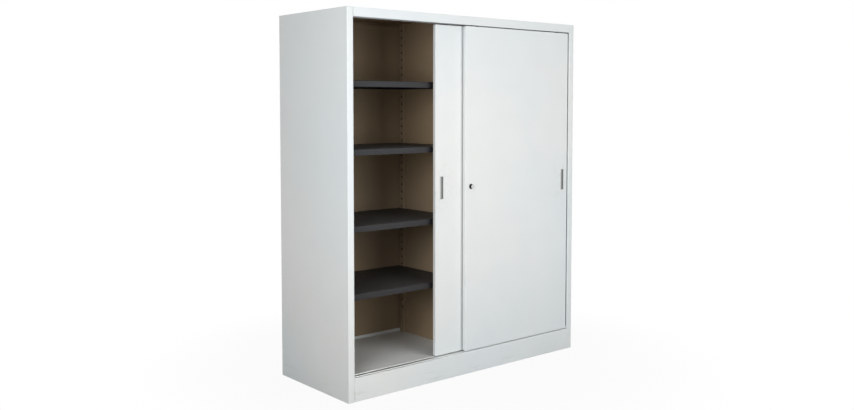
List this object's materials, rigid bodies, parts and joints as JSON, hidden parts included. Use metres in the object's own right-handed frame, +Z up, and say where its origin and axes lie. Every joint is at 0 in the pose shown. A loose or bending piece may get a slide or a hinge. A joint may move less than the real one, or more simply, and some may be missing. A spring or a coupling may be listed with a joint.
{
  "type": "sliding door cabinet",
  "caption": "Steel office cupboard with two sliding doors on rollers, a centre partition, adjustable shelves on slotted uprights and a push lock.",
  "frame": {"origin": "on the floor under the middle of the cabinet", "axes": "+Z up, +X to the right seen from the front, the doors face -Y"},
  "size_m": [1.6, 0.6248, 1.9],
  "materials": {
    "carcass_paint": "semi-gloss fine-textured powder coat",
    "inner_paint": "matt powder coat",
    "dark_paint": "matt powder coat",
    "satin_steel": "satin",
    "zinc_plated_steel": "zinc plated",
    "aluminium": "anodised",
    "chrome": "polished",
    "nylon": "moulded",
    "black_plastic": "moulded",
    "rubber": "matt"
  },
  "bodies": {
    "root": {"side_panel_left": "carcass_paint", "side_panel_right": "carcass_paint", "top_panel": "carcass_paint", "floor_panel": "carcass_paint", "plinth_front": "carcass_paint", "plinth_rear": "carcass_paint", "centre_partition": "inner_paint", "back_panel_left": "inner_paint", "back_panel_right": "inner_paint", "top_track": "zinc_plated_steel", "bottom_track": "aluminium", "buffer_left": "rubber", "buffer_right": "rubber", "upright_left_side_front": "inner_paint", "upright_left_side_rear": "inner_paint", "upright_left_centre_front": "inner_paint", "upright_left_centre_rear": "inner_paint", "upright_right_centre_front": "inner_paint", "upright_right_centre_rear": "inner_paint", "upright_right_side_front": "inner_paint", "upright_right_side_rear": "inner_paint", "shelf_left_1": "dark_paint", "shelf_left_2": "dark_paint", "shelf_left_3": "dark_paint", "shelf_left_4": "dark_paint", "shelf_right_1": "dark_paint", "shelf_right_2": "dark_paint", "shelf_right_3": "dark_paint", "shelf_right_4": "dark_paint"},
    "door_left": {"door_left_pan": "carcass_paint", "door_left_stiffener": "carcass_paint", "door_left_pull": "satin_steel", "door_left_guide_left": "black_plastic", "door_left_guide_right": "black_plastic", "door_left_carrier_left": "nylon", "door_left_carrier_right": "nylon", "door_left_axle_left": "zinc_plated_steel", "door_left_axle_right": "zinc_plated_steel", "lock_keeper": "zinc_plated_steel"},
    "door_right": {"door_right_pan": "carcass_paint", "door_right_stiffener": "carcass_paint", "door_right_pull": "satin_steel", "door_right_guide_left": "black_plastic", "door_right_guide_right": "black_plastic", "door_right_carrier_left": "nylon", "door_right_carrier_right": "nylon", "door_right_axle_left": "zinc_plated_steel", "door_right_axle_right": "zinc_plated_steel", "lock_housing": "black_plastic"},
    "door_left_roller_left": {"door_left_roller_left": "nylon"},
    "door_left_roller_right": {"door_left_roller_right": "nylon"},
    "door_right_roller_left": {"door_right_roller_left": "nylon"},
    "door_right_roller_right": {"door_right_roller_right": "nylon"},
    "lock_plunger": {"lock_plunger": "black_plastic"},
    "lock_core": {"lock_core": "chrome"},
    "levelling_foot_front_left": {"levelling_foot_front_left": "zinc_plated_steel"},
    "levelling_foot_front_right": {"levelling_foot_front_right": "zinc_plated_steel"},
    "levelling_foot_rear_left": {"levelling_foot_rear_left": "zinc_plated_steel"},
    "levelling_foot_rear_right": {"levelling_foot_rear_right": "zinc_plated_steel"}
  },
  "joints": [
    {"name": "door_left_slide", "type": "slide", "parent": "root", "child": "door_left", "axis": [1, 0, 0], "range_m": [-0.537, 0.183]},
    {"name": "door_right_slide", "type": "slide", "parent": "root", "child": "door_right", "axis": [1, 0, 0], "range_m": [-0.72, 0]},
    {"name": "door_left_roller_left_spin", "type": "hinge", "parent": "door_left", "child": "door_left_roller_left", "pos_m": [-0.127, -0.263, 0.131], "axis": [0, 1, 0], "continuous": true},
    {"name": "door_left_roller_right_spin", "type": "hinge", "parent": "door_left", "child": "door_left_roller_right", "pos_m": [0.481, -0.263, 0.131], "axis": [0, 1, 0], "continuous": true},
    {"name": "door_right_roller_left_spin", "type": "hinge", "parent": "door_right", "child": "door_right_roller_left", "pos_m": [0.056, -0.292, 0.131], "axis": [0, 1, 0], "continuous": true},
    {"name": "door_right_roller_right_spin", "type": "hinge", "parent": "door_right", "child": "door_right_roller_right", "pos_m": [0.664, -0.292, 0.131], "axis": [0, 1, 0], "continuous": true},
    {"name": "lock_press", "type": "slide", "parent": "door_right", "child": "lock_plunger", "axis": [0, 1, 0], "range_m": [0, 0.008], "stiffness_N_per_m": 300, "springref_m": -0.004},
    {"name": "lock_key_turn", "type": "hinge", "parent": "lock_plunger", "child": "lock_core", "pos_m": [0, -0.314, 1.004], "axis": [0, -1, 0], "range_deg": [0, 90]},
    {"name": "levelling_foot_front_left_screw", "type": "slide", "parent": "root", "child": "levelling_foot_front_left", "axis": [0, 0, -1], "range_m": [0, 0.015]},
    {"name": "levelling_foot_front_right_screw", "type": "slide", "parent": "root", "child": "levelling_foot_front_right", "axis": [0, 0, -1], "range_m": [0, 0.015]},
    {"name": "levelling_foot_rear_left_screw", "type": "slide", "parent": "root", "child": "levelling_foot_rear_left", "axis": [0, 0, -1], "range_m": [0, 0.015]},
    {"name": "levelling_foot_rear_right_screw", "type": "slide", "parent": "root", "child": "levelling_foot_rear_right", "axis": [0, 0, -1], "range_m": [0, 0.015]}
  ],
  "couplings": [
    {"joint": "door_left_roller_left_spin", "follows": "door_left_slide", "rad_per_m": 100},
    {"joint": "door_left_roller_right_spin", "follows": "door_left_slide", "rad_per_m": 100},
    {"joint": "door_right_roller_left_spin", "follows": "door_right_slide", "rad_per_m": 100},
    {"joint": "door_right_roller_right_spin", "follows": "door_right_slide", "rad_per_m": 100}
  ]
}
